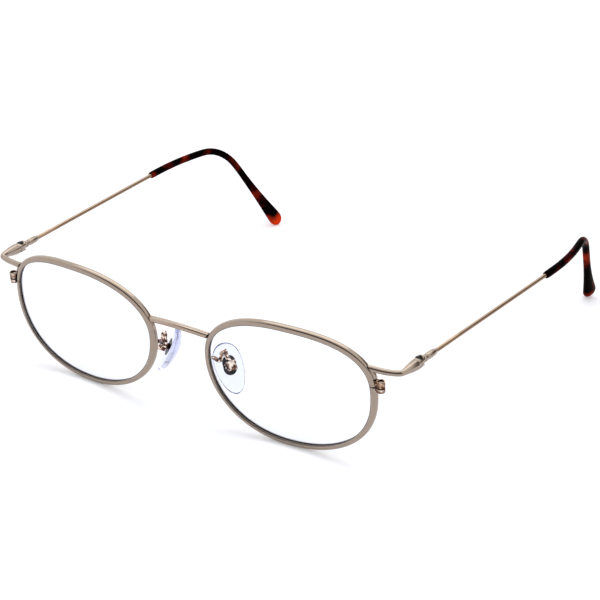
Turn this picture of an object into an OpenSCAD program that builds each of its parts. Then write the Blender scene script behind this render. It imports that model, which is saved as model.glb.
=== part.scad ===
// Reading glasses with thin metal rims, standing open on the rim bottoms and the temple tips.
// +X is the wearer's left, the lenses face -Y, +Z is up and the table is z = 0.
// All sizes are millimetres and all angles degrees.

/* [Lenses] */
// Reach of the lens from its centre to the temple side
lens_out = 25.25; // [23:0.05:27]
// Reach of the lens from its centre to the nose side
lens_in = 24.5; // [22:0.05:26]
// Reach of the lens above its centre
lens_up = 15.5; // [13:0.05:18]
// Reach of the lens below its centre
lens_down = 20.45; // [17:0.05:22]
// Squareness of the upper corner at the temple, 2 is an ellipse
square_up_out = 2.55; // [2:0.01:3]
// Squareness of the upper corner at the nose
square_up_in = 2.17; // [2:0.01:3]
// Squareness of the lower corner at the nose
square_down_in = 2.09; // [2:0.01:3]
// Squareness of the lower corner at the temple
square_down_out = 2.27; // [2:0.01:3]
// Thickness of the lens in its middle
lens_mid_t = 2.3; // [1.8:0.05:3]
// Thickness of the lens at its edge
lens_edge_t = 1.5; // [1.3:0.05:1.7]
// Radius of the curve that lenses and rims lie on
lens_curve_r = 107; // [90:1:150]

/* [Front] */
// Distance from the middle of the nose to a lens centre
lens_x = 33.8; // [32:0.1:36]
// Angle that the top of the front leans forwards
front_tilt = 6.1; // [2:0.1:10]
// Angle that each rim turns back at the temple side
front_wrap = 3.4; // [1:0.1:6]
// Thickness of the rim wire across the front
rim_t = 1.55; // [1.3:0.05:1.8]
// Depth of the rim wire from front to back
rim_depth = 1.8; // [1.7:0.05:2.2]
// Depth of the groove that holds the lens
groove_depth = 0.5; // [0.3:0.05:0.7]
// Half width of the groove at its mouth
groove_half = 0.45; // [0.3:0.05:0.6]
// Play between the lens and its groove
lens_play = 0.06; // [0.05:0.01:0.1]
// Height of the bridge joint above the lens centre
bridge_up = 5.5; // [3:0.1:8]
// Thickness of the bridge wire
bridge_d = 1.95; // [1.6:0.05:2.3]
// Rise of the bridge in its middle
bridge_rise = 0.9; // [0:0.1:3]
// Reach of the bridge forwards in its middle
bridge_reach = 1.1; // [0:0.1:3]
// Depth of the flutes along the bridge
bridge_flute = 0.12; // [0:0.01:0.2]
// Height of the closing joint above the lens centre
closing_up = 3.5; // [2:0.1:5]
// Gap between the two ends of a rim at the closing joint
closing_gap = 0.25; // [0.15:0.05:0.4]
// Diameter of the closing block
closing_d = 2.3; // [2.1:0.05:2.8]
// Height of the upper closing block
closing_upper_h = 1.9; // [1.6:0.1:2.4]
// Height of the lower closing block
closing_lower_h = 1.3; // [1:0.1:2]
// Distance that the closing block stands off the rim
closing_foot = 0.1; // [0.1:0.05:0.5]
// Distance of the closing block before the middle of the rim wire
closing_forward = 0.6; // [0:0.1:0.8]
// Thread diameter of the closing screw
closing_screw_d = 1.1; // [0.9:0.1:1.2]

/* [End pieces] */
// Height of the end piece joint above the lens centre
lug_up = 8; // [7.5:0.1:9.5]
// Diameter of the end piece wire at the rim
lug_d = 1.65; // [1.4:0.05:1.9]
// Diameter of the flared end of the end piece
flare_d = 3.4; // [3.2:0.05:3.8]
// Depth of the flutes on the flare
flute_depth = 0.16; // [0.05:0.01:0.25]
// Number of flutes round the flare
flutes = 8; // [6:1:10]

/* [Hinges] */
// Distance from the middle of the nose to a hinge
hinge_x = 66.4; // [65:0.1:68]
// Distance of the hinges behind the lens centres
hinge_y = 13.8; // [13:0.1:16]
// Height of the hinges above the table
hinge_z = 30.1; // [29:0.1:32]
// Radius of the hinge cheeks seen from above
cheek_r = 1.6; // [1.5:0.05:1.8]
// Thickness of the tongue between the cheeks
tongue_t = 1.4; // [1.2:0.05:1.6]
// Play between the tongue and each cheek
tongue_play = 0.03; // [0.02:0.01:0.05]
// Thread diameter of the hinge screw
hinge_screw_d = 1.2; // [1:0.1:1.4]
// Head diameter of the hinge screw
hinge_head_d = 2.1; // [1.8:0.1:2.3]
// Play round the hinge screw
screw_play = 0.02; // [0.01:0.01:0.04]

/* [Temples] */
// Diameter of the temple wire
wire_d = 1.2; // [1:0.05:1.5]
// Angle that the open temples spread outwards
splay = 3.1; // [1:0.1:6]
// Distance from the hinge to the end of the ferrule
ferrule_end = 8.1; // [7.5:0.1:10]
// Diameter of the ferrule
ferrule_d = 2; // [1.8:0.05:2.2]
// Distance from the hinge to the start of the tip
tip_start = 69.6; // [60:0.1:72]
// Distance from the hinge to where the tip starts to turn inwards
turn_start = 74; // [73:0.1:85]
// Angle that the tip turns inwards before the ear bend
turn = 14.8; // [5:0.1:20]
// Distance from the hinge to the ear bend
bend_start = 97.1; // [92:0.1:105]
// Radius of the ear bend
bend_r = 14.9; // [12:0.1:20]
// Angle of the left ear bend
bend_left = 52.9; // [45:0.1:70]
// Angle of the right ear bend, set by hand to the wearer's other ear
bend_right = 62.3; // [45:0.1:70]
// Inward lean of the left ear bend
lean_left = 1.6; // [0:0.1:25]
// Inward lean of the right ear bend
lean_right = 20.1; // [0:0.1:25]
// Thickness of the tip at its start
tip_d = 2.25; // [2:0.05:2.6]
// Width of the flat paddle at the end of the tip
paddle_w = 5.6; // [4:0.1:7]
// Thickness of the paddle
paddle_t = 3.2; // [2.8:0.1:4]
// Length over which the paddle swells
paddle_len = 24; // [18:0.5:28]

/* [Nose pads] */
// Distance of a pad hinge from the middle of the nose
pad_x = 11.4; // [10.5:0.05:12.5]
// Distance of the pad hinges behind the lens centres
pad_y = 9.1; // [8:0.1:10]
// Height of the pad hinges above the table
pad_z = 15.5; // [13:0.1:17]
// Angle of a pad seen from the front
pad_flare = 24.5; // [10:0.5:35]
// Angle of a pad seen from above
pad_splay = 37; // [15:0.5:40]
// Angle of a pad seen from the side
pad_lean = 9; // [0:0.5:15]
// Length of a pad
pad_len = 14.8; // [13:0.1:17]
// Width of a pad
pad_w = 8.2; // [7:0.1:9]
// Thickness of a pad
pad_t = 2.8; // [2:0.1:3]
// Diameter of the pad arm wire
arm_d = 1.2; // [0.8:0.05:1.3]
// Side of the square pad box
box_w = 2.6; // [2.4:0.1:3]
// Thickness of the lug on the pad insert
pad_lug_t = 0.8; // [0.6:0.05:1]
// Diameter of the pad screw
pad_screw_d = 0.8; // [0.6:0.05:0.9]

/* [Hidden] */
$fn = 48;
metal = "#c8b49c";
gold = "#d2a860";
tortoise = "#571a12";
clear = "#dfe6f2";
// Braze gap between pieces that are soldered face to face
braze = 0.03;

// Small vector helpers
function unit(v) = v / norm(v);
function power(x, e) = sign(x) * pow(abs(x), e);
function about_x(v, a) = [v[0], v[1] * cos(a) - v[2] * sin(a), v[1] * sin(a) + v[2] * cos(a)];
function about_y(v, a) = [v[0] * cos(a) + v[2] * sin(a), v[1], v[2] * cos(a) - v[0] * sin(a)];
function about_z(v, a) = [v[0] * cos(a) - v[1] * sin(a), v[0] * sin(a) + v[1] * cos(a), v[2]];

// Lens outline: four quarter superellipses that meet at the centre lines
function squareness(t) =
    cos(t) >= 0 ? (sin(t) >= 0 ? square_up_out : square_down_out)
                : (sin(t) >= 0 ? square_up_in : square_down_in);
function lens_edge(t) = [
    (cos(t) >= 0 ? lens_out : lens_in) * power(cos(t), 2 / squareness(t)),
    (sin(t) >= 0 ? lens_up : lens_down) * power(sin(t), 2 / squareness(t))];
function edge_normal(t) =
    let (d = lens_edge(t + 1) - lens_edge(t - 1)) [d[1], -d[0]] / norm(d);
// The outline point at angle t, moved outwards by r
function eye(t, r) = lens_edge(t) + r * edge_normal(t);
// Angle on the temple side, and on the nose side, of a height above the lens centre
function out_angle(h) = asin(pow(h / lens_up, square_up_out / 2));
function in_angle(h) = 180 - asin(pow(h / lens_up, square_up_in / 2));

// A point of the left lens frame, at depth d behind the curved mid surface, in the model
function curved(p, d) =
    let (w = (p[0] * p[0] + p[1] * p[1]) / (2 * lens_curve_r) + d)
    about_x(about_z([p[0], w, p[1]], front_wrap), front_tilt);
// Section of the rim wire: reach out from the lens edge, and depth
rim_out = rim_t - groove_depth;
rim_back = rim_depth / 2;
// Bevel along the lips of the groove, bevel along the outer corners, and crown of the outer face
lip_cut = 0.13;
corner_cut = 0.33;
crown = 0.06;
rim_section = [
    [-groove_depth, -groove_half], [-groove_depth, lip_cut - rim_back],
    [lip_cut - groove_depth, -rim_back], [rim_out - corner_cut, -rim_back],
    [rim_out - crown, corner_cut - rim_back], [rim_out, 0], [rim_out - crown, rim_back - corner_cut],
    [rim_out - corner_cut, rim_back], [lip_cut - groove_depth, rim_back],
    [-groove_depth, rim_back - lip_cut], [-groove_depth, groove_half], [0, 0]];
rim_low = min([for (t = [240:2:300]) for (q = rim_section) curved(eye(t, q[0]), q[1])[2]]);
function front(p, d) = curved(p, d) + [lens_x, 0, -rim_low];

// Closed skin through a list of rings that have equal numbers of points
module loft(rings) {
    n = len(rings[0]);
    m = len(rings);
    polyhedron(
        points = [for (r = rings) each r],
        faces = concat(
            [[for (j = [0:n - 1]) n - 1 - j]],
            [for (i = [0:m - 2]) for (j = [0:n - 1])
                let (a = i * n + j, b = i * n + (j + 1) % n) each [[a, b, b + n], [a, b + n, a + n]]],
            [[for (j = [0:n - 1]) (m - 1) * n + j]]),
        convexity = 10);
}

// Smooth wire path: it starts and ends at the first and last of the guide points
function bend3(a, b, c, t) = a * pow(1 - t, 2) + b * 2 * t * (1 - t) + c * t * t;
function wire_path(g, n) =
    let (m = len(g) - 2)
    [for (i = [1:m]) for (k = [0:i == m ? n : n - 1])
        bend3(i == 1 ? g[0] : (g[i - 1] + g[i]) / 2, g[i], i == m ? g[m + 1] : (g[i] + g[i + 1]) / 2, k / n)];
function heading(path, i) = unit(path[min(i + 1, len(path) - 1)] - path[max(i - 1, 0)]);
// Ring of radius r round a path point, with its flutes cut f deep
function ring(c, along, up, r, n, f = 0, lobes = 1) =
    let (side = unit(cross(along, up)), top = cross(side, along))
    [for (j = [0:n - 1]) let (a = 360 * j / n, q = r - f * (1 + cos(lobes * a)) / 2)
        c + q * (side * cos(a) + top * sin(a))];
// The ring slid along its wire onto the plane through p that faces n
function cut(points, along, p, n) = [for (q = points) q + along * (((p - q) * n) / (along * n))];

// Draws the left side, or its mirror image on the right
module sided(right) {
    if (right) mirror([1, 0, 0]) children();
    else children();
}

// Rims: grooved wire bent round the lens and split at the closing joint
rim_steps = 76;
split_top = out_angle(closing_up + closing_gap / 2);
split_low = out_angle(closing_up - closing_gap / 2);
module rim() {
    color(metal) loft([for (i = [0:rim_steps])
        let (t = split_top + (360 + split_low - split_top) * i / rim_steps)
        [for (q = rim_section) front(eye(t, q[0]), q[1])]]);
}

// Lenses: meniscus with a V bevel that sits in the groove of the rim
lens_steps = 48;
lens_rings = [0.02, 0.35, 0.7, 1];
lens_r = -groove_depth - lens_play;
bevel_half = groove_half - lens_play;
function lens_ring(k, face) =
    [for (j = [0:lens_steps - 1])
        let (half = lens_edge_t / 2 + (lens_mid_t - lens_edge_t) * (1 - k * k) / 2)
        front(k * eye(360 * j / lens_steps, lens_r), face * half)];
function bevel_ring(r, d) = [for (j = [0:lens_steps - 1]) front(eye(360 * j / lens_steps, r), d)];
module lens() {
    color(clear, 0.35) loft([
        for (k = lens_rings) lens_ring(k, -1),
        bevel_ring(lens_r, -bevel_half), bevel_ring(-lens_play, 0), bevel_ring(lens_r, bevel_half),
        for (i = [len(lens_rings) - 1:-1:0]) lens_ring(lens_rings[i], 1)]);
}

// Bridge: fluted wire that arches between the rims
bridge_t = in_angle(bridge_up);
bridge_end = front(eye(bridge_t, rim_out + braze), 0);
bridge_face = front(eye(bridge_t, rim_out + 1), 0) - front(eye(bridge_t, rim_out), 0);
bridge_lobes = 6;
// Share of the half span at which the arch levels out
bridge_knee = 0.45;
function mirrored(p) = [-p[0], p[1], p[2]];
module bridge() {
    mid = [bridge_end[0] * bridge_knee, bridge_end[1] - bridge_reach, bridge_end[2] + bridge_rise];
    path = wire_path([bridge_end, mid, mirrored(mid), mirrored(bridge_end)], 7);
    last = len(path) - 1;
    rings = [for (i = [0:last]) ring(path[i], heading(path, i), [0, 0, 1],
        bridge_d / 2, 3 * bridge_lobes, bridge_flute, bridge_lobes)];
    color(metal) loft([for (i = [0:last])
        i == 0 ? cut(rings[0], heading(path, 0), bridge_end, bridge_face)
        : i == last ? cut(rings[last], heading(path, last), mirrored(bridge_end), mirrored(bridge_face))
        : rings[i]]);
}

// End piece: wire from the rim round the corner, flared and fluted up to the hinge
hinge = [hinge_x, hinge_y, hinge_z];
lug_t = out_angle(lug_up);
lug_end = front(eye(lug_t, rim_out + braze), 0);
lug_face = front(eye(lug_t, rim_out + 1), 0) - front(eye(lug_t, rim_out), 0);
// Base of the cheeks that the flare butts against
cheek_base = 0.3;
flare_end = hinge - [0, cheek_r + cheek_base, 0];
// Guide points of the wire: the corner, and the start of the straight run to the hinge
lug_corner = [hinge_x - 1, lug_end[1] + 1.6, hinge_z];
flare_run = flare_end + [0, -6, 0.3];
lug_sag = 0.35;
function swell(k) = k * k * (3 - 2 * k);
// Foot of the end piece, brazed along the outside of the rim down to the closing block
foot_t = 0.5;
foot_half = 0.55;
foot_cut = 0.17;
foot_end = out_angle(closing_up + closing_upper_h + 0.05);
module lug_foot() {
    section = [[0, -foot_half], [foot_t - foot_cut, -foot_half], [foot_t, foot_cut - foot_half],
               [foot_t, foot_half - foot_cut], [foot_t - foot_cut, foot_half], [0, foot_half]];
    loft([for (k = [0:5]) let (t = lug_t + (foot_end - lug_t) * k / 5)
        [for (q = section) front(eye(t, rim_out + braze + q[0]), q[1])]]);
}
module end_piece() {
    path = wire_path(
        [lug_end, (lug_end + lug_corner) / 2 - [0, 0, lug_sag], lug_corner, flare_run, flare_end], 5);
    last = len(path) - 1;
    rings = [for (i = [0:last])
        let (k = swell(max(0, (path[i][1] - lug_corner[1]) / (flare_end[1] - lug_corner[1]))))
        ring(path[i], i == last ? [0, 1, 0] : heading(path, i), [0, 0, 1],
             lug_d / 2 + (flare_d - lug_d) / 2 * k, 3 * flutes, flute_depth * k, flutes)];
    color(metal) {
        loft([for (i = [0:last]) i == 0 ? cut(rings[0], heading(path, 0), lug_end, lug_face) : rings[i]]);
        lug_foot();
    }
}

// Front hinge half: two round cheeks with the tongue slot between them
slot_half = tongue_t / 2 + tongue_play;
cheek_h = flare_d / 2 - flute_depth;
// Height of the screw's head, and how deep it sits below the top of the cheek
head_h = 0.32;
head_sink = 0.18;
module hinge_cheeks() {
    color(metal) translate(hinge) difference() {
        intersection() {
            translate([0, -cheek_r - cheek_base + braze, 0]) rotate([-90, 0, 0])
                cylinder(r = cheek_h, h = 2 * cheek_r + cheek_base - braze);
            union() {
                cylinder(r = cheek_r, h = 2 * cheek_h + 1, center = true);
                translate([-flare_d, -2 * cheek_r, -flare_d]) cube([2 * flare_d, 2 * cheek_r, 2 * flare_d]);
            }
        }
        translate([-flare_d, -cheek_r, -slot_half]) cube([2 * flare_d, 3 * cheek_r, 2 * slot_half]);
        cylinder(d = hinge_screw_d + 2 * screw_play, h = 2 * flare_d, center = true);
        translate([0, 0, cheek_h - head_h - head_sink])
            cylinder(d = hinge_head_d + 2 * screw_play, h = flare_d);
    }
}

// Slotted screw standing on its point at z = 0, with its head on top
screw_slot = 0.28;
module slotted_screw(d, head_d, head, length) {
    difference() {
        union() {
            cylinder(d = d, h = length - head / 2);
            translate([0, 0, length - head]) cylinder(d = head_d, h = head);
        }
        translate([-head_d, -screw_slot / 2, length - head * 0.55]) cube([2 * head_d, screw_slot, head]);
    }
}

// Hinge screw: from the upper cheek through the tongue into the lower cheek
point_in = 0.1;
module hinge_screw() {
    color(gold) translate(hinge - [0, 0, cheek_h - point_in])
        slotted_screw(hinge_screw_d, hinge_head_d, head_h - screw_play, 2 * cheek_h - point_in - head_sink);
}

// Closing blocks: barrel halves on the two rim ends, drawn together by a screw
closing_t = out_angle(closing_up);
closing_out = closing_foot + closing_d / 2;
closing_mid = front(eye(closing_t, rim_out) + [closing_out, 0], -closing_forward);
module at_closing() {
    translate(closing_mid) rotate([front_tilt, 0, 0]) rotate([0, 0, front_wrap]) children();
}
// Web between a barrel and the rim: its rim side follows the outline of the rim
web_w = closing_d * 0.72;
module closing_web() {
    seat = [for (k = [-8:2:16])
        eye(closing_t + k, rim_out + 2 * braze) - eye(closing_t, rim_out) - [closing_out, 0]];
    rotate([90, 0, 0]) linear_extrude(height = web_w, center = true)
        polygon(concat(seat, [[0, seat[len(seat) - 1][1]], [0, seat[0][1]]]));
}
module closing_block(from, to) {
    color(metal) at_closing() difference() {
        union() {
            translate([0, 0, from]) cylinder(d = closing_d, h = to - from);
            intersection() {
                closing_web();
                translate([-2 * closing_out, -closing_d, from])
                    cube([2 * closing_out, 2 * closing_d, to - from]);
            }
        }
        translate([0, 0, from - 1]) cylinder(d = closing_screw_d + 2 * screw_play, h = to - from + 2);
    }
}
// Head of the closing screw, and how deep it sits below the top of the block
closing_head_h = 0.45;
closing_head_d = 1.6;
closing_head_sink = 0.35;
module closing_block_upper() {
    difference() {
        closing_block(closing_gap / 2, closing_upper_h);
        at_closing() translate([0, 0, closing_upper_h - closing_head_sink - closing_head_h])
            cylinder(d = closing_head_d + 2 * screw_play, h = closing_d);
    }
}
module closing_block_lower() {
    closing_block(-closing_lower_h, -closing_gap / 2);
}
module closing_screw() {
    color(gold) at_closing() translate([0, 0, point_in - closing_lower_h])
        slotted_screw(closing_screw_d, closing_head_d, closing_head_h - screw_play,
                      closing_upper_h + closing_lower_h - point_in - closing_head_sink);
}

// Temple path, measured in s along the wire from the hinge, for an ear bend b leaning inwards by l
turn_r = (bend_start - turn_start) / (turn * PI / 180);
function facing(s) = splay - turn * max(0, min(1, (s - turn_start) / (bend_start - turn_start)));
function level_point(s) = hinge +
    [sin(splay), cos(splay), 0] * min(s, turn_start) +
    turn_r * [cos(facing(s)) - cos(splay), sin(splay) - sin(facing(s)), 0];
bend_dir = [sin(splay - turn), cos(splay - turn), 0];
bend_out = [cos(splay - turn), -sin(splay - turn), 0];
function bend_down(l) = [0, 0, -cos(l)] - bend_out * sin(l);
function bent(s, b) = max(0, min(b, (s - bend_start) / bend_r * 180 / PI));
function temple_point(s, b, l) =
    s <= bend_start ? level_point(s) :
    let (a = bent(s, b), past = max(0, s - bend_start - bend_r * b * PI / 180))
    level_point(bend_start) +
    bend_r * (bend_dir * sin(a) + bend_down(l) * (1 - cos(a))) +
    past * (bend_dir * cos(b) + bend_down(l) * sin(b));
// Section axes at s: to the outer side, and to the inside of the bend
function roll_at(s, l) = l * max(0, min(1, (s - turn_start) / (bend_start - turn_start)));
function side_axis(s, l) =
    let (h = facing(s), r = roll_at(s, l)) [cos(h) * cos(r), -sin(h) * cos(r), -sin(r)];
function inner_axis(s, b, l) =
    let (h = facing(s), r = roll_at(s, l), a = bent(s, b))
    [0, 0, -cos(r) * cos(a)] - [cos(h), -sin(h), 0] * sin(r) * cos(a) - [sin(h), cos(h), 0] * sin(a);
function temple_ring(s, b, l, half_t, half_w, n, shift = 0) =
    [for (j = [0:n - 1])
        temple_point(s, b, l) + side_axis(s, l) * half_t * cos(360 * j / n) +
        inner_axis(s, b, l) * (half_w * sin(360 * j / n) - shift)];

// Tip: sleeve with a bore for the wire, swelling to a paddle with a round end
round_len = 3.4;
tip_points = 16;
function paddle(e) = pow(max(0, 1 - e / paddle_len), 1.6);
function end_round(e) = e >= round_len ? 1 : sqrt(max(0, 1 - pow(1 - e / round_len, 2)));
function tip_half_w(e) = (tip_d / 2 + (paddle_w - tip_d) / 2 * paddle(e)) * end_round(e);
function tip_half_t(e) = (tip_d / 2 + (paddle_t - tip_d) / 2 * paddle(e)) * end_round(e);
// Places of the sections before the end: along the paddle, and round the end in equal angles
end_places = concat(
    [for (k = [0:6]) paddle_len + (round_len - paddle_len) * k / 7],
    [for (a = [0, 17, 34, 50, 65, 77, 85]) round_len * (1 - sin(a))]);
function outer_ring(s, e, b, l) =
    temple_ring(s, b, l, tip_half_t(e), tip_half_w(e), tip_points, 0.5 * paddle(e));
// Length at which the round end of the tip just touches the table
function low_end(len, b, l) = min([for (e = end_places) for (p = outer_ring(len - e, e, b, l)) p[2]]);
function temple_len(b, l) = let (try = bend_start + bend_r * b * PI / 180 + 40)
    try + low_end(try, b, l) / (sin(b) * cos(l));
bend_steps = 7;
function before_end(b) = concat(
    [for (k = [0:3]) turn_start + (bend_start - turn_start) * k / 4],
    [for (k = [0:bend_steps]) bend_start + bend_r * b * PI / 180 * k / bend_steps]);
bore_end = 7;
core_play = 0.02;
module tip(b, l) {
    length = temple_len(b, l);
    core = wire_d / 2 + core_play;
    stations = concat([tip_start], before_end(b));
    color(tortoise) loft(concat(
        [temple_ring(length - bore_end, b, l, core, core, tip_points)],
        [for (k = [len(stations) - 1:-1:0]) temple_ring(stations[k], b, l, core, core, tip_points)],
        [temple_ring(tip_start, b, l, tip_d / 2 - 0.15, tip_d / 2 - 0.15, tip_points),
         temple_ring(tip_start + 0.15, b, l, tip_d / 2, tip_d / 2, tip_points)],
        [for (k = [1:len(stations) - 1]) outer_ring(stations[k], length - stations[k], b, l)],
        [for (e = end_places) outer_ring(length - e, e, b, l)]));
}

// Temple wire: from inside the ferrule to near the end of the tip
ball_y = cheek_r + 1.15;
wire_start = ball_y + 1.4;
module temple_wire(b, l) {
    stations = concat([wire_start], before_end(b), [temple_len(b, l) - bore_end - 0.3]);
    color(metal) loft([for (s = stations) temple_ring(s, b, l, wire_d / 2, wire_d / 2, 12)]);
}

// Temple hinge half: tongue with the screw bore, ball and ferrule that holds the wire
ferrule_r = ferrule_d / 2;
neck_r = 0.75;
ferrule_taper = 0.2;
module temple_joint() {
    tongue_r = cheek_r - 0.15;
    ball = [[0, -1], [0.6, -0.85], [ferrule_r, -0.3], [ferrule_r, 0.3], [neck_r, 0.8], [neck_r, 1]];
    ferrule = [[ferrule_r - ferrule_taper / 2, ball_y + 1.2], [ferrule_r, ball_y + 1.6],
               [ferrule_r, ferrule_end - 1.2], [ferrule_r - ferrule_taper, ferrule_end], [0, ferrule_end]];
    color(metal) translate(hinge) rotate([0, 0, -splay]) difference() {
        union() {
            cylinder(r = tongue_r, h = tongue_t, center = true);
            translate([-tongue_r / 2, 0, -tongue_t / 2]) cube([tongue_r, ball_y, tongue_t]);
            rotate([-90, 0, 0]) rotate_extrude()
                polygon(concat([for (q = ball) q + [0, ball_y]], ferrule));
        }
        cylinder(d = hinge_screw_d + 2 * screw_play, h = 3 * tongue_t, center = true);
        rotate([-90, 0, 0]) translate([0, 0, wire_start - 0.05])
            cylinder(d = wire_d + 2 * core_play, h = ferrule_end);
    }
}

// Nose pads: everything on a pad is drawn round the pad hinge, with +Z up the pad,
// +Y to its rear edge and +X to the side of the rim
pad_hinge = [pad_x, pad_y, pad_z];
module at_pad() {
    translate(pad_hinge) rotate([-pad_lean, -pad_flare, 0]) rotate([0, 0, -pad_splay]) children();
}
function from_pad(v) = about_y(about_x(about_z(v, -pad_splay), -pad_lean), -pad_flare);
lug_r = 0.75;
box_front = 0.75;
plate_x = -box_front - 0.9;
plate_t = 0.4;
plate_r = 1.9;
plate_reach = 0.9;
module stadium(x, t, r) {
    // Flat plate with round ends, its rim side at x
    translate([x - t, 0, 0]) rotate([0, 90, 0]) {
        for (k = [-1, 1]) translate([k * plate_reach, 0, 0]) cylinder(r = r, h = t);
        translate([-plate_reach, -r, 0]) cube([2 * plate_reach, 2 * r, t]);
    }
}
// Outline of the pad: an egg, blunter at the top, whose middle lies a little before and below its hinge
pad_steps = 28;
pad_forward = 0.1;
pad_drop = 0.9;
pad_skew = 0.06;
pad_bow = 0.012;
function pad_edge(a, k) =
    let (s = sin(a), w = pad_w / 2 * (cos(a) >= 0 ? 1.04 : 0.96) * (1 + 0.16 * s))
    [w * k * power(cos(a), 0.9), pad_len / 2 * k * power(s, 0.92)];
function pad_ring(x, k) = [for (j = [0:pad_steps - 1]) let (p = pad_edge(360 * j / pad_steps, k))
    [x + pad_bow * pow(p[1] + 1, 2), p[0] - pad_skew * p[1] - pad_forward, p[1] - pad_drop]];
// Rings of the pad from its back to its front: depth and outline, as shares of its thickness and size
pad_shell = [[0, 0.04], [0, 0.45], [0, 0.8], [0.1, 0.93], [0.29, 1],
             [0.5, 0.98], [0.75, 0.86], [0.92, 0.6], [1, 0.2]];
pad_back = plate_x + 0.05;
plate_play = 0.02;
module nose_pad() {
    color(clear, 0.6) difference() {
        at_pad() loft([for (q = pad_shell) pad_ring(pad_back - q[0] * pad_t, q[1])]);
        at_pad() stadium(plate_x + 1, plate_t + 1 + plate_play, plate_r + plate_play);
    }
}
// Metal insert: plate moulded into the pad, with a lug that turns on the pad screw
module pad_insert() {
    color(gold) at_pad() difference() {
        union() {
            stadium(plate_x, plate_t, plate_r);
            rotate([90, 0, 0]) cylinder(r = lug_r, h = pad_lug_t, center = true);
            translate([plate_x - plate_t / 2, -pad_lug_t / 2, -lug_r])
                cube([-plate_x + plate_t / 2, pad_lug_t, 2 * lug_r]);
        }
        rotate([90, 0, 0]) cylinder(d = pad_screw_d + 2 * screw_play, h = 3, center = true);
    }
}
// Pad box: channel round the lug, closed on the side of the rim
box_back = 1.35;
module pad_box() {
    color(gold) at_pad() difference() {
        translate([-box_front, -box_w / 2, -box_w / 2]) cube([box_front + box_back, box_w, box_w]);
        translate([-box_front - 1, -pad_lug_t / 2 - tongue_play, -box_w])
            cube([box_front + 1 + lug_r + 0.1, pad_lug_t + 2 * tongue_play, 2 * box_w]);
        rotate([90, 0, 0]) cylinder(d = pad_screw_d + 2 * screw_play, h = 2 * box_w, center = true);
    }
}
pad_head_d = 1.5;
pad_head_h = 0.35;
module pad_screw() {
    color(gold) at_pad() rotate([90, 0, 0]) translate([0, 0, point_in - box_w / 2])
        slotted_screw(pad_screw_d, pad_head_d, pad_head_h, box_w - point_in + pad_head_h + 2 * screw_play);
}
// Pad arm: wire from the back of the rim, up, over in a half circle and down to the pad box
arm_t = 183.5;
arm_end = front(eye(arm_t, rim_out - 0.55), rim_back + braze);
arm_face = front([0, 0], 1) - front([0, 0], 0);
box_top = pad_hinge + from_pad([box_back / 2, 0, box_w / 2 + braze]);
box_up = from_pad([0, 0, 1]);
loop_r = 0.8;
loop_in = 0.3;
leg_top = box_top + [-1.15, -0.6, 2.5];
function loop_point(a) = leg_top + [-loop_in * (1 - cos(a)) / 2, -loop_r * (1 - cos(a)), loop_r * sin(a)];
module pad_arm() {
    rise = loop_point(180) - [0, 0, 1.4];
    path = concat(
        wire_path([arm_end, arm_end + [0.4, 1.4, -0.3], rise - [0.3, 0.8, 0.6], rise, loop_point(180)], 4),
        [for (a = [157.5:-22.5:22.5]) loop_point(a)],
        wire_path([leg_top, leg_top - [0, 0, 1.5], box_top], 4));
    last = len(path) - 1;
    rings = [for (i = [0:last]) ring(path[i], heading(path, i), [1, 0, 0], arm_d / 2, 10)];
    color(gold) loft([for (i = [0:last])
        i == 0 ? cut(rings[0], heading(path, 0), arm_end, arm_face)
        : i == last ? cut(rings[last], heading(path, last), box_top, box_up)
        : rings[i]]);
}

// The origin is the middle of the box that holds the glasses, on the table
rear = max([for (k = [0, 1]) let (b = k == 0 ? bend_left : bend_right, l = k == 0 ? lean_left : lean_right,
    length = temple_len(b, l)) for (e = end_places) for (p = outer_ring(length - e, e, b, l)) p[1]]);
nearest = min([for (k = lens_rings) for (p = lens_ring(k, -1)) p[1]]);
y_shift = -(rear + nearest) / 2;
module set_down() {
    translate([0, y_shift, 0]) children();
}

set_down() rim();  // rim_left
set_down() sided(true) rim();  // rim_right
set_down() lens();  // lens_left
set_down() sided(true) lens();  // lens_right
set_down() bridge();
set_down() end_piece();  // end_piece_left
set_down() sided(true) end_piece();  // end_piece_right
set_down() hinge_cheeks();  // hinge_cheeks_left
set_down() sided(true) hinge_cheeks();  // hinge_cheeks_right
set_down() hinge_screw();  // hinge_screw_left
set_down() sided(true) hinge_screw();  // hinge_screw_right
set_down() closing_block_upper();  // closing_block_upper_left
set_down() sided(true) closing_block_upper();  // closing_block_upper_right
set_down() closing_block_lower();  // closing_block_lower_left
set_down() sided(true) closing_block_lower();  // closing_block_lower_right
set_down() closing_screw();  // closing_screw_left
set_down() sided(true) closing_screw();  // closing_screw_right
set_down() temple_joint();  // temple_joint_left
set_down() sided(true) temple_joint();  // temple_joint_right
set_down() temple_wire(bend_left, lean_left);  // temple_wire_left
set_down() sided(true) temple_wire(bend_right, lean_right);  // temple_wire_right
set_down() tip(bend_left, lean_left);  // temple_tip_left
set_down() sided(true) tip(bend_right, lean_right);  // temple_tip_right
set_down() pad_arm();  // pad_arm_left
set_down() sided(true) pad_arm();  // pad_arm_right
set_down() pad_box();  // pad_box_left
set_down() sided(true) pad_box();  // pad_box_right
set_down() pad_screw();  // pad_screw_left
set_down() sided(true) pad_screw();  // pad_screw_right
set_down() pad_insert();  // pad_insert_left
set_down() sided(true) pad_insert();  // pad_insert_right
set_down() nose_pad();  // nose_pad_left
set_down() sided(true) nose_pad();  // nose_pad_right
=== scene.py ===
import math

import bpy
from mathutils import Matrix, Vector


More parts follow.
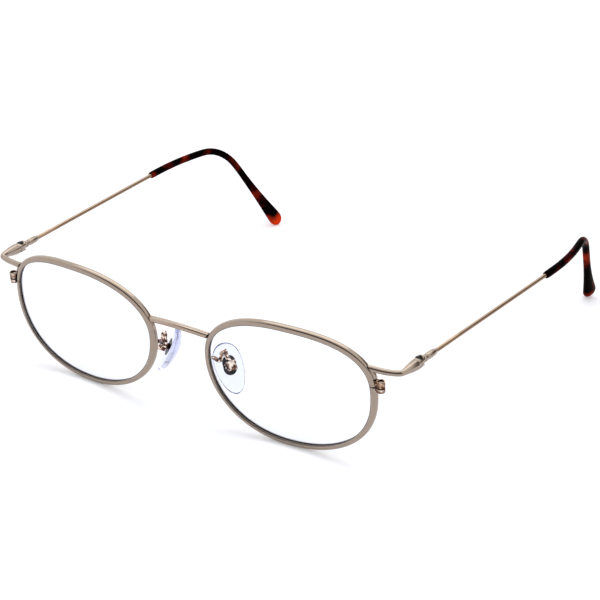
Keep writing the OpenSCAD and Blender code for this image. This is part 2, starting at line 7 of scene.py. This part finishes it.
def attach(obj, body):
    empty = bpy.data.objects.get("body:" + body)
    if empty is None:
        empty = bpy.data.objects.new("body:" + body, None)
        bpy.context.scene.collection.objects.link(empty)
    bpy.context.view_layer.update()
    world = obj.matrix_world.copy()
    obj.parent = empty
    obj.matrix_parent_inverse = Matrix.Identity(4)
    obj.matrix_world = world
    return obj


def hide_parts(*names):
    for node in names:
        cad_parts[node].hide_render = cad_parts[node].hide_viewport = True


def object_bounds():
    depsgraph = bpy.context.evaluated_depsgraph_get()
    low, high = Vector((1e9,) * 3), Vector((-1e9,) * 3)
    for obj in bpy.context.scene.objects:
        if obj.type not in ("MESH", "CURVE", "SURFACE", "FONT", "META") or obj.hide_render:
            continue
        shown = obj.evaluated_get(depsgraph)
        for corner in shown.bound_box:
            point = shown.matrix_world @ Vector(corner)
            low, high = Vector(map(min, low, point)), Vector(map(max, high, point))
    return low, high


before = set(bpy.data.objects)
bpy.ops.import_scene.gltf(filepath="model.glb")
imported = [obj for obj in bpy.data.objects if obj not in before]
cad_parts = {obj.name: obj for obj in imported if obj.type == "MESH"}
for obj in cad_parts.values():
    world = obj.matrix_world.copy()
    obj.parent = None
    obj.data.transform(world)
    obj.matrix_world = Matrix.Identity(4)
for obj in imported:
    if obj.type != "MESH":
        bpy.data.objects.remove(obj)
cad_low, cad_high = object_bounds()

# Rims: a cupronickel wire rolled to a section with a V groove for the lens, bent round a
# former, cut at the temple side and plated. The plate is pale champagne gold, satin on the
# flat front and polished on the rounded corners, so it shows thin bright and dark lines.
mm = 0.001
sides = ("left", "right")
wire_crease = math.radians(50)
plate_grain = 0.6 * mm


def linear(hex_colour):
    """An sRGB hex colour as linear red, green and blue with a full alpha."""
    parts = [int(hex_colour[i:i + 2], 16) / 255 for i in (1, 3, 5)]
    return [c / 12.92 if c <= 0.04045 else ((c + 0.055) / 1.055) ** 2.4 for c in parts] + [1]


def add_node(owner, kind, inputs, **options):
    """Adds a node to a material or world, with its options, socket values and links."""
    node = owner.node_tree.nodes.new(kind)
    for option, value in options.items():
        setattr(node, option, value)
    for socket, value in inputs.items():
        if isinstance(value, bpy.types.NodeSocket):
            owner.node_tree.links.new(value, node.inputs[socket])
        else:
            node.inputs[socket].default_value = value
    return node


def new_material(name):
    """An empty material with its output, and the object's own coordinates."""
    material = bpy.data.materials.new(name)
    material.use_nodes = True
    material.node_tree.nodes.clear()
    output = add_node(material, "ShaderNodeOutputMaterial", {})
    place = add_node(material, "ShaderNodeTexCoord", {}).outputs["Object"]
    return material, output.inputs["Surface"], place


def noise_scale(patch):
    """The scale at which the patches of a noise are about this wide."""
    return 0.5 / patch


def only(piece):
    """Selects one object and makes it the active one."""
    bpy.ops.object.select_all(action="DESELECT")
    piece.select_set(True)
    bpy.context.view_layer.objects.active = piece


def blank(node, name):
    """Starts a piece from the node it stands for: the node's triangles joined and made quads."""
    piece = bpy.data.objects.new(name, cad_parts[node].data.copy())
    bpy.context.scene.collection.objects.link(piece)
    piece.data.materials.clear()
    only(piece)
    bpy.ops.object.mode_set(mode="EDIT")
    bpy.ops.mesh.select_mode(type="VERT")
    bpy.ops.mesh.select_all(action="SELECT")
    bpy.ops.mesh.remove_doubles(threshold=0.001 * mm)
    bpy.ops.mesh.tris_convert_to_quads(face_threshold=0.5, shape_threshold=1.2)
    bpy.ops.object.mode_set(mode="OBJECT")
    return piece


def apply_all(piece):
    """Applies the piece's modifiers in order."""
    only(piece)
    for modifier in list(piece.modifiers):
        bpy.ops.object.modifier_apply(modifier=modifier.name)


def roll_smooth(piece, crease_angle, proud=0):
    """Rounds a rolled or moulded piece, keeps its square ends and makes up for what rounding takes."""
    only(piece)
    bpy.ops.object.mode_set(mode="EDIT")
    bpy.ops.mesh.select_mode(type="EDGE")
    bpy.ops.mesh.select_all(action="DESELECT")
    bpy.ops.mesh.edges_select_sharp(sharpness=crease_angle)
    bpy.ops.transform.edge_crease(value=1)
    bpy.ops.object.mode_set(mode="OBJECT")
    rounding = piece.modifiers.new("rounding", "SUBSURF")
    rounding.levels = 2
    rounding.render_levels = 2
    if proud:
        growth = piece.modifiers.new("growth", "DISPLACE")
        growth.strength = proud
        growth.mid_level = 0
    apply_all(piece)
    bpy.ops.object.shade_smooth_by_angle(angle=math.radians(40))


def fit_to_body(piece, body, node, material):
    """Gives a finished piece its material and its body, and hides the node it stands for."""
    piece.data.materials.append(material)
    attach(piece, body)
    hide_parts(node)


def plated(name, corner, painted_underside, painted_flank, top, grain_size, mottle, satin):
    """Plate on metal with painted light: drawn lighter or darker by how far it faces up, with painted
    shade in its corners.
    """
    # The grain stands for polishing marks, which are too fine to show and are drawn coarser here; it
    # also moves the painted shade up and down, which draws blotches of painted highlight and shade where
    # the mottle is strong
    facing_down = 0.3
    facing_sideways = 0.65
    corner_shade_reach = 0.6 * mm
    wave_height = 0.1 * mm
    material, surface, place = new_material(name)
    # Painted light: the colour is drawn lighter or darker by how far the surface faces up, whatever the
    # lamps do
    facing = add_node(material, "ShaderNodeSeparateXYZ", {"Vector": place.node.outputs["Normal"]})
    upness = add_node(material, "ShaderNodeMapRange", {"Value": facing.outputs["Z"], "From Min": -1,
                                                       "To Min": facing_down})
    grain = add_node(material, "ShaderNodeTexNoise", {"Vector": place, "Scale": noise_scale(grain_size),
                                                      "Detail": 3})
    spread = add_node(material, "ShaderNodeMapRange", {"Value": grain.outputs["Fac"], "From Min": 0.3,
                                                       "From Max": 0.7, "To Min": -mottle,
                                                       "To Max": mottle})
    varied = add_node(material, "ShaderNodeMath", {0: upness.outputs["Result"],
                                                   1: spread.outputs["Result"]}, operation="ADD")
    # Painted shade: ambient occlusion darkens the colour in corners, creases and hollows
    occlusion = add_node(material, "ShaderNodeAmbientOcclusion", {"Distance": corner_shade_reach}, samples=8)
    corner_shade = add_node(material, "ShaderNodeMapRange", {"Value": occlusion.outputs["AO"], "From Min": 0.3})
    shade = add_node(material, "ShaderNodeMath", {0: varied.outputs["Value"],
                                                  1: corner_shade.outputs["Result"]}, operation="MULTIPLY")
    # The ramp's stops are the painted corner shade and the painted underside, flank and top colours
    tint = add_node(material, "ShaderNodeValToRGB", {"Fac": shade.outputs["Value"]})
    tint.color_ramp.elements[0].color = linear(corner)
    tint.color_ramp.elements[1].color = linear(top)
    for position, colour in ((facing_down, painted_underside), (facing_sideways, painted_flank)):
        stop = tint.color_ramp.elements.new(position)
        stop.color = linear(colour)
    gloss = add_node(material, "ShaderNodeMapRange", {"Value": grain.outputs["Fac"], "To Min": satin[0],
                                                      "To Max": satin[1]})
    wave = add_node(material, "ShaderNodeBump", {"Height": grain.outputs["Fac"], "Strength": mottle,
                                                 "Distance": wave_height})
    plate = add_node(material, "ShaderNodeBsdfPrincipled",
                     {"Base Color": tint.outputs["Color"], "Roughness": gloss.outputs["Result"],
                      "Metallic": 1, "Normal": wave.outputs["Normal"]})
    material.node_tree.links.new(plate.outputs["BSDF"], surface)
    return material


# The champagne plate is painted lighter underneath than on its flanks, as light from the white table
# below, and lightest on top
champagne = plated("champagne_gold_plate_satin", "#30231a", "#ab9c8d", "#9b8c80", "#b6a798",
                   grain_size=plate_grain, mottle=0.04, satin=(0.07, 0.15))
for side in sides:
    rim = blank("rim_" + side, "rim_wire_" + side)
    roll_smooth(rim, wire_crease)
    fit_to_body(rim, "front", "rim_" + side, champagne)

# Lenses: clear allyl resin ground to a meniscus, with a V bevel that sits in the rim's groove.
# The coated lens is clear, and so thin that it hardly shifts what is seen through it. Its ground edge is
# painted nearly black next to the front face, as painted shade, and pale lilac behind that, as painted
# light from the table.
thin_lens_ior = 1.02
grit_size = 0.2 * mm
face_squareness = 0.8


def let_light_through(material, surface, body, tint):
    """Joins a clear body to the output, so that its shadow is only as dark as the tint."""
    light_path = add_node(material, "ShaderNodeLightPath", {})
    passing = add_node(material, "ShaderNodeBsdfTransparent", {"Color": linear(tint)})
    joined = add_node(material, "ShaderNodeMixShader", {"Fac": light_path.outputs["Is Shadow Ray"],
                                                        1: body.outputs["BSDF"],
                                                        2: passing.outputs["BSDF"]})
    material.node_tree.links.new(joined.outputs["Shader"], surface)


def ground_resin(name, dark, light):
    """Resin ground with a diamond wheel: matt, with a fine grit."""
    # The grit is drawn coarser than it is, so that it shows
    material, surface, place = new_material(name)
    grit = add_node(material, "ShaderNodeTexNoise", {"Vector": place, "Scale": noise_scale(grit_size),
                                                     "Detail": 3})
    grit_tint = add_node(material, "ShaderNodeValToRGB", {"Fac": grit.outputs["Fac"]})
    grit_tint.color_ramp.elements[0].color = linear(dark)
    grit_tint.color_ramp.elements[1].color = linear(light)
    ground = add_node(material, "ShaderNodeBsdfPrincipled",
                      {"Base Color": grit_tint.outputs["Color"], "Roughness": 0.45, "IOR": 1.5})
    material.node_tree.links.new(ground.outputs["BSDF"], surface)
    return material


lens_resin, surface, _ = new_material("allyl_resin_coated_clear")
glass = add_node(lens_resin, "ShaderNodeBsdfPrincipled",
                 {"Base Color": linear("#fbfdff"), "Roughness": 0, "IOR": thin_lens_ior,
                  "Transmission Weight": 1, "Coat Weight": 0.2, "Coat Roughness": 0})
let_light_through(lens_resin, surface, glass, "#f6f8fa")
edge_in_shade = ground_resin("allyl_resin_ground_edge_in_shade", "#3a3234", "#625a5e")
edge_in_light = ground_resin("allyl_resin_ground_edge_in_light", "#d2d0de", "#ecebf6")
for side in sides:
    lens = blank("lens_" + side, "lens_blank_" + side)
    front_faces = [face for face in lens.data.polygons if face.normal.y < -face_squareness]
    front_rim = {corner for face in front_faces for corner in face.vertices}
    fit_to_body(lens, "front", "lens_" + side, lens_resin)
    lens.data.materials.append(edge_in_shade)
    lens.data.materials.append(edge_in_light)
    for face in lens.data.polygons:
        if abs(face.normal.y) < face_squareness:
            face.material_index = 1 if front_rim.intersection(face.vertices) else 2
    roll_smooth(lens, crease_angle=math.radians(40))

# Bridge: a fluted nickel silver wire, arched in a press and brazed between the rims.
# It has the same champagne plate as they have, a little glossier, painted darker underneath and lighter
# on top.
flute_crease = math.radians(30)
flute_growth = 0.02 * mm
polished_with_painted_contrast = plated("champagne_gold_plate_polished_painted_contrast", "#2c1e16", "#735e4e", "#a79384", "#ccbcae",
                  grain_size=plate_grain, mottle=0.04, satin=(0.05, 0.12))
bridge = blank("bridge", "bridge_wire")
roll_smooth(bridge, flute_crease, proud=flute_growth)
fit_to_body(bridge, "front", "bridge", polished_with_painted_contrast)

# End pieces: nickel silver wire swaged to a fluted bud, bent round the corner and brazed to
# the rim with a foot that runs down to the closing block.
for side in sides:
    end_piece = blank("end_piece_" + side, "end_piece_bud_" + side)
    roll_smooth(end_piece, flute_crease, proud=flute_growth)
    fit_to_body(end_piece, "front", "end_piece_" + side, champagne)

# Hinges and closing blocks: small machined parts of nickel silver, brazed on before plating, with broken
# edges that catch the light. The closing blocks' plate is rough and reddish brown, and is drawn dark and
# strongly mottled as painted shade and highlights for the open counterbores that the blocks lack; the
# left upper block is drawn darkest.
cheek_edge = 0.06 * mm
block_edge = 0.1 * mm
tongue_edge = 0.05 * mm


def machined(node, name, body, material, edge):
    """Starts from the node, clears the lines across its flats and breaks its sharp edges."""
    piece = blank(node, name)
    bpy.ops.object.mode_set(mode="EDIT")
    bpy.ops.mesh.select_all(action="SELECT")
    bpy.ops.mesh.dissolve_limited(angle_limit=math.radians(2))
    bpy.ops.object.mode_set(mode="OBJECT")
    broken = piece.modifiers.new("broken_edges", "BEVEL")
    broken.width = edge
    broken.segments = 2
    broken.limit_method = "ANGLE"
    broken.angle_limit = math.radians(35)
    apply_all(piece)
    bpy.ops.object.shade_smooth_by_angle(angle=math.radians(40))
    fit_to_body(piece, body, node, material)


# Painted shade: these plates are drawn dark and blotchy to stand for the shade and highlights of
# counterbores
rough_plate_painted_shade = plated("champagne_gold_plate_rough_painted_shade", "#2a120a", "#5a3e32", "#8e7262", "#e6d6ca",
                    grain_size=0.5 * mm, mottle=0.5, satin=(0.08, 0.2))
darkest_painted_shade_plate = plated("champagne_gold_plate_darkest_painted_shade", "#1a0a05", "#3c2417", "#725440", "#cdb096",
                     grain_size=0.5 * mm, mottle=0.5, satin=(0.08, 0.2))
upper_plate = {"left": darkest_painted_shade_plate, "right": rough_plate_painted_shade}
for side in sides:
    machined("hinge_cheeks_" + side, "hinge_front_half_" + side, "front",
             champagne, cheek_edge)
    machined("closing_block_upper_" + side, "closing_barrel_upper_" + side, "front",
             upper_plate[side], block_edge)
    machined("closing_block_lower_" + side, "closing_barrel_lower_" + side, "front",
             rough_plate_painted_shade, block_edge)
    machined("temple_joint_" + side, "hinge_temple_half_" + side, "temple_" + side,
             champagne, tongue_edge)

# Screws: turned from steel rod with a slotted cheese head. The hinge screws are blued and look nearly
# black, the closing screws share their blocks' plate with its painted shade and look red-brown in their
# counterbores, and the pad screws are gilt like their boxes.
screw_edge = 0.04 * mm
blued_steel, surface, _ = new_material("steel_turned_and_blued")
bluing = add_node(blued_steel, "ShaderNodeBsdfPrincipled",
                  {"Base Color": linear("#171412"), "Roughness": 0.3, "Metallic": 1})
blued_steel.node_tree.links.new(bluing.outputs["BSDF"], surface)
# The gilt plate's near-white top and strong mottle paint blotches of highlight and shade
gold = plated("yellow_gold_plate_bright", "#150a06", "#46281c", "#86604e", "#fff0e4",
              grain_size=0.45 * mm, mottle=0.6, satin=(0.04, 0.12))
for side in sides:
    machined("hinge_screw_" + side, "hinge_screw_slotted_" + side, "front",
             blued_steel, screw_edge)
    machined("closing_screw_" + side, "closing_screw_slotted_" + side, "front",
             rough_plate_painted_shade, screw_edge)
    machined("pad_screw_" + side, "pad_screw_slotted_" + side, "front", gold, screw_edge)

# Temple wires: drawn nickel silver wire, pushed into the ferrule and the tip and plated a
# little yellower than the front.
# Its plate is painted darker underneath and lighter on top, with painted shade in its corners, like the
# rest
temple_plate = plated("pale_gold_plate_drawn_wire", "#3a2818", "#5a4230", "#92745a", "#c3ab94",
                      grain_size=0.8 * mm, mottle=0.04, satin=(0.08, 0.16))
for side in sides:
    wire = blank("temple_wire_" + side, "drawn_wire_" + side)
    roll_smooth(wire, wire_crease, proud=0.027 * mm)
    fit_to_body(wire, "temple_" + side, "temple_wire_" + side, temple_plate)

# Tips: tortoiseshell cellulose acetate, moulded over the wire and bent warm. Nearly black with red
# patches, and orange at the ends, painted there as a glow of light coming through, more on the right,
# under a high polish. The flat paddle at each end is turned about its own length, as if bent by hand.
patch_size = 3.6 * mm
side_reach = 50 * mm
glow_from = 6 * mm
glow_full = 1 * mm
end_height = 3 * mm
neck_low = 13 * mm
neck_high = 17 * mm
paddle_reach = 22 * mm
paddle_turn = {"left": math.radians(-36), "right": math.radians(-14)}
table_gap = 0.03 * mm
tortoise, surface, place = new_material("tortoiseshell_acetate_polished")
patches = add_node(tortoise, "ShaderNodeTexNoise", {"Vector": place, "Scale": noise_scale(patch_size),
                                                    "Detail": 2, "Roughness": 0.45})
where = add_node(tortoise, "ShaderNodeSeparateXYZ", {"Vector": place})
glow_by_side = add_node(tortoise, "ShaderNodeMapRange", {"Value": where.outputs["X"],
                                                         "From Min": -side_reach,
                                                         "From Max": side_reach,
                                                         "To Min": 0.42, "To Max": 0.12})
end_glow = add_node(tortoise, "ShaderNodeMapRange", {"Value": where.outputs["Z"], "From Min": glow_from,
                                                     "From Max": glow_full,
                                                     "To Max": glow_by_side.outputs["Result"]})
redness = add_node(tortoise, "ShaderNodeMath", {0: patches.outputs["Fac"],
                                                1: end_glow.outputs["Result"]}, operation="ADD")
shade = add_node(tortoise, "ShaderNodeValToRGB", {"Fac": redness.outputs["Value"]})
shade.color_ramp.elements[0].position = 0.48
shade.color_ramp.elements[0].color = linear("#060202")
shade.color_ramp.elements[1].position = 0.92
shade.color_ramp.elements[1].color = linear("#d8360f")
for position, colour in ((0.54, "#320604"), (0.66, "#8c2210")):
    patch = shade.color_ramp.elements.new(position)
    patch.color = linear(colour)
polish = add_node(tortoise, "ShaderNodeBsdfPrincipled",
                  {"Base Color": shade.outputs["Color"], "Roughness": 0.2, "IOR": 1.12,
                   "Specular IOR Level": 0.04})
tortoise.node_tree.links.new(polish.outputs["BSDF"], surface)
for side in sides:
    tip = blank("temple_tip_" + side, "ear_tip_" + side)
    corners = [vertex.co.copy() for vertex in tip.data.vertices]
    end_part = [corner for corner in corners if corner.z < end_height]
    neck = [corner for corner in corners if neck_low < corner.z < neck_high]
    end_middle = sum(end_part, Vector()) / len(end_part)
    along = (sum(neck, Vector()) / len(neck) - end_middle).normalized()
    for vertex in tip.data.vertices:
        reach = (vertex.co - end_middle).dot(along)
        if reach < paddle_reach and vertex.co.z < paddle_reach:
            turn = paddle_turn[side] * min(1, 1 - reach / paddle_reach)
            vertex.co = end_middle + Matrix.Rotation(turn, 3, along) @ (vertex.co - end_middle)
            vertex.co.z = max(vertex.co.z, cad_low[2] + table_gap)
    roll_smooth(tip, wire_crease, proud=0.028 * mm)
    fit_to_body(tip, "temple_" + side, "temple_tip_" + side, tortoise)

# Pad arms and boxes: thin nickel silver wire bent to a gooseneck with a folded box brazed to its end,
# plated bright yellow gold, drawn with blotches of painted highlight and shade.
for side in sides:
    arm = blank("pad_arm_" + side, "pad_gooseneck_" + side)
    roll_smooth(arm, wire_crease, proud=0.03 * mm)
    fit_to_body(arm, "front", "pad_arm_" + side, gold)
    machined("pad_box_" + side, "pad_channel_" + side, "front", gold, edge=0.08 * mm)

# Pad inserts: stamped steel plates with a lug, moulded into the pads. They are blued like the
# hinge screws, and stay dull and dark.
for side in sides:
    machined("pad_insert_" + side, "pad_lug_plate_" + side, "pad_" + side,
             blued_steel, edge=0.05 * mm)

# Nose pads: clear silicone, moulded round the insert, a soft egg with a violet-blue cast where
# the wall is seen edge on.
silicone, surface, _ = new_material("clear_silicone_moulded")
gel = add_node(silicone, "ShaderNodeBsdfPrincipled",
               {"Base Color": linear("#fafcff"), "Roughness": 0.03, "IOR": 1.25,
                "Transmission Weight": 1})
let_light_through(silicone, surface, gel, "#e4e4f0")
depth = add_node(silicone, "ShaderNodeVolumeAbsorption", {"Color": linear("#8a92dc"), "Density": 58})
silicone.node_tree.links.new(depth.outputs["Volume"], surface.node.inputs["Volume"])
for side in sides:
    pad = blank("nose_pad_" + side, "silicone_pad_" + side)
    roll_smooth(pad, crease_angle=math.radians(60), proud=0.01 * mm)
    fit_to_body(pad, "pad_" + side, "nose_pad_" + side, silicone)

# Table: white paper that the glasses stand on. It shows itself white to the camera and in
# reflections, and keeps the soft shadow of the glasses.
white = linear("#ffffff")
floor_reach = 3.0
paper_drop = 0.02 * mm
paper_lift = 0.18
bpy.ops.object.select_all(action="DESELECT")
bpy.ops.mesh.primitive_plane_add(size=2 * floor_reach, location=(0, 0, -paper_drop))
table = bpy.context.object
table.name = "white_paper"
paper, surface, _ = new_material("white_paper_matt")
fibre = add_node(paper, "ShaderNodeBsdfDiffuse", {"Color": linear("#eff0f4")})
light_path = add_node(paper, "ShaderNodeLightPath", {})
seen = add_node(paper, "ShaderNodeMath", {0: light_path.outputs["Is Camera Ray"],
                                          1: light_path.outputs["Is Transmission Ray"]},
                operation="MAXIMUM")
seen_or_mirrored = add_node(paper, "ShaderNodeMath", {0: seen.outputs["Value"],
                                                      1: light_path.outputs["Is Glossy Ray"]},
                            operation="MAXIMUM")
lift = add_node(paper, "ShaderNodeMath", {0: seen_or_mirrored.outputs["Value"], 1: paper_lift},
                operation="MULTIPLY")
glow = add_node(paper, "ShaderNodeEmission", {"Color": white, "Strength": lift.outputs["Value"]})
sheet = add_node(paper, "ShaderNodeAddShader", {0: fibre.outputs["BSDF"], 1: glow.outputs["Emission"]})
paper.node_tree.links.new(sheet.outputs["Shader"], surface)
table.data.materials.append(paper)

# Studio: plain white walls all round, which the camera sees behind the glasses and which light
# them evenly from every side.
room = bpy.data.worlds.new("white_studio")
bpy.context.scene.world = room
room.use_nodes = True
room.node_tree.nodes.clear()
walls = add_node(room, "ShaderNodeBackground", {"Color": white, "Strength": 1})
add_node(room, "ShaderNodeOutputWorld", {"Surface": walls.outputs["Background"]})

# Tent: a dome of white cloth round the glasses with two black felt cards in it, one round the
# camera side and one low behind on the right. Only polished surfaces mirror it, and the cards
# are the dark lines that give bright metal its shape.
card_places = ((0.2, -0.9, 0.12), (0.55, 0.8, 0.2))
card_edges = ((0.55, 0.85), (0.86, 0.94))
card_felts = ("#696561", "#7c736c")
bpy.ops.object.select_all(action="DESELECT")
bpy.ops.mesh.primitive_uv_sphere_add(segments=64, ring_count=32, radius=1)
tent = bpy.context.object
tent.name = "white_tent"
bpy.ops.object.mode_set(mode="EDIT")
bpy.ops.mesh.select_mode(type="FACE")
bpy.ops.mesh.select_all(action="SELECT")
bpy.ops.mesh.bisect(plane_co=(0, 0, 0), plane_no=(0, 0, 1), clear_inner=True)
bpy.ops.object.mode_set(mode="OBJECT")
cloth, surface, place = new_material("white_tent_cloth_and_felt_cards")
tent_colour = white
for card, edge, felt in zip(card_places, card_edges, card_felts):
    facing = add_node(cloth, "ShaderNodeVectorMath", {0: place, 1: Vector(card).normalized()},
                      operation="DOT_PRODUCT")
    fade = add_node(cloth, "ShaderNodeValToRGB", {"Fac": facing.outputs["Value"]})
    fade.color_ramp.elements[0].position = edge[0]
    fade.color_ramp.elements[0].color = white
    fade.color_ramp.elements[1].position = edge[1]
    fade.color_ramp.elements[1].color = linear(felt)
    darkened = add_node(cloth, "ShaderNodeMixRGB", {"Fac": 1, "Color1": tent_colour,
                                                    "Color2": fade.outputs["Color"]},
                        blend_type="MULTIPLY")
    tent_colour = darkened.outputs["Color"]
tent_light = add_node(cloth, "ShaderNodeEmission", {"Color": tent_colour, "Strength": 1})
cloth.node_tree.links.new(tent_light.outputs["Emission"], surface)
tent.data.materials.append(cloth)
tent.visible_camera = False
tent.visible_transmission = False
tent.visible_diffuse = False
tent.visible_shadow = False

# Lamp: one large softbox overhead and a little behind, so that shadows fall forwards and stay
# soft. Its place and its size are in metres.
softbox_place = Vector((-0.15, 0.35, 0.8))
softbox_width = 0.9
softbox_depth = 0.7
softbox_radiance = 0.8
bpy.ops.object.light_add(type="AREA", location=softbox_place)
softbox = bpy.context.object
softbox.rotation_euler = softbox_place.to_track_quat("Z", "Y").to_euler()
softbox.data.shape = "RECTANGLE"
softbox.data.size = softbox_width
softbox.data.size_y = softbox_depth
softbox.data.energy = math.pi * softbox_width * softbox_depth * softbox_radiance

# Camera: stands before the wearer's left side and looks down on the front. Its angles and its
# place are the photograph's, found from both rims, both temples and both tips.
camera_azimuth = math.radians(31.42)
camera_elevation = math.radians(24.785)
camera_roll = math.radians(1.278)
camera_place = (252.59 * mm, -420.14 * mm, 235.32 * mm)
focal_length = 106.23
across = Vector((math.cos(camera_azimuth), math.sin(camera_azimuth), 0))
back = Vector((math.sin(camera_azimuth) * math.cos(camera_elevation),
               -math.cos(camera_azimuth) * math.cos(camera_elevation), math.sin(camera_elevation)))
upward = back.cross(across)
right = across * math.cos(camera_roll) + upward * math.sin(camera_roll)
top = upward * math.cos(camera_roll) - across * math.sin(camera_roll)
bpy.ops.object.camera_add()
camera = bpy.context.object
camera.matrix_world = Matrix.Translation(camera_place) @ Matrix((right, top, back)).transposed().to_4x4()
camera.data.lens = focal_length
camera.data.sensor_width = 36
camera.data.clip_start = 0.01
camera.data.clip_end = 10
bpy.context.scene.camera = camera
bpy.context.scene.view_settings.view_transform = "Standard"
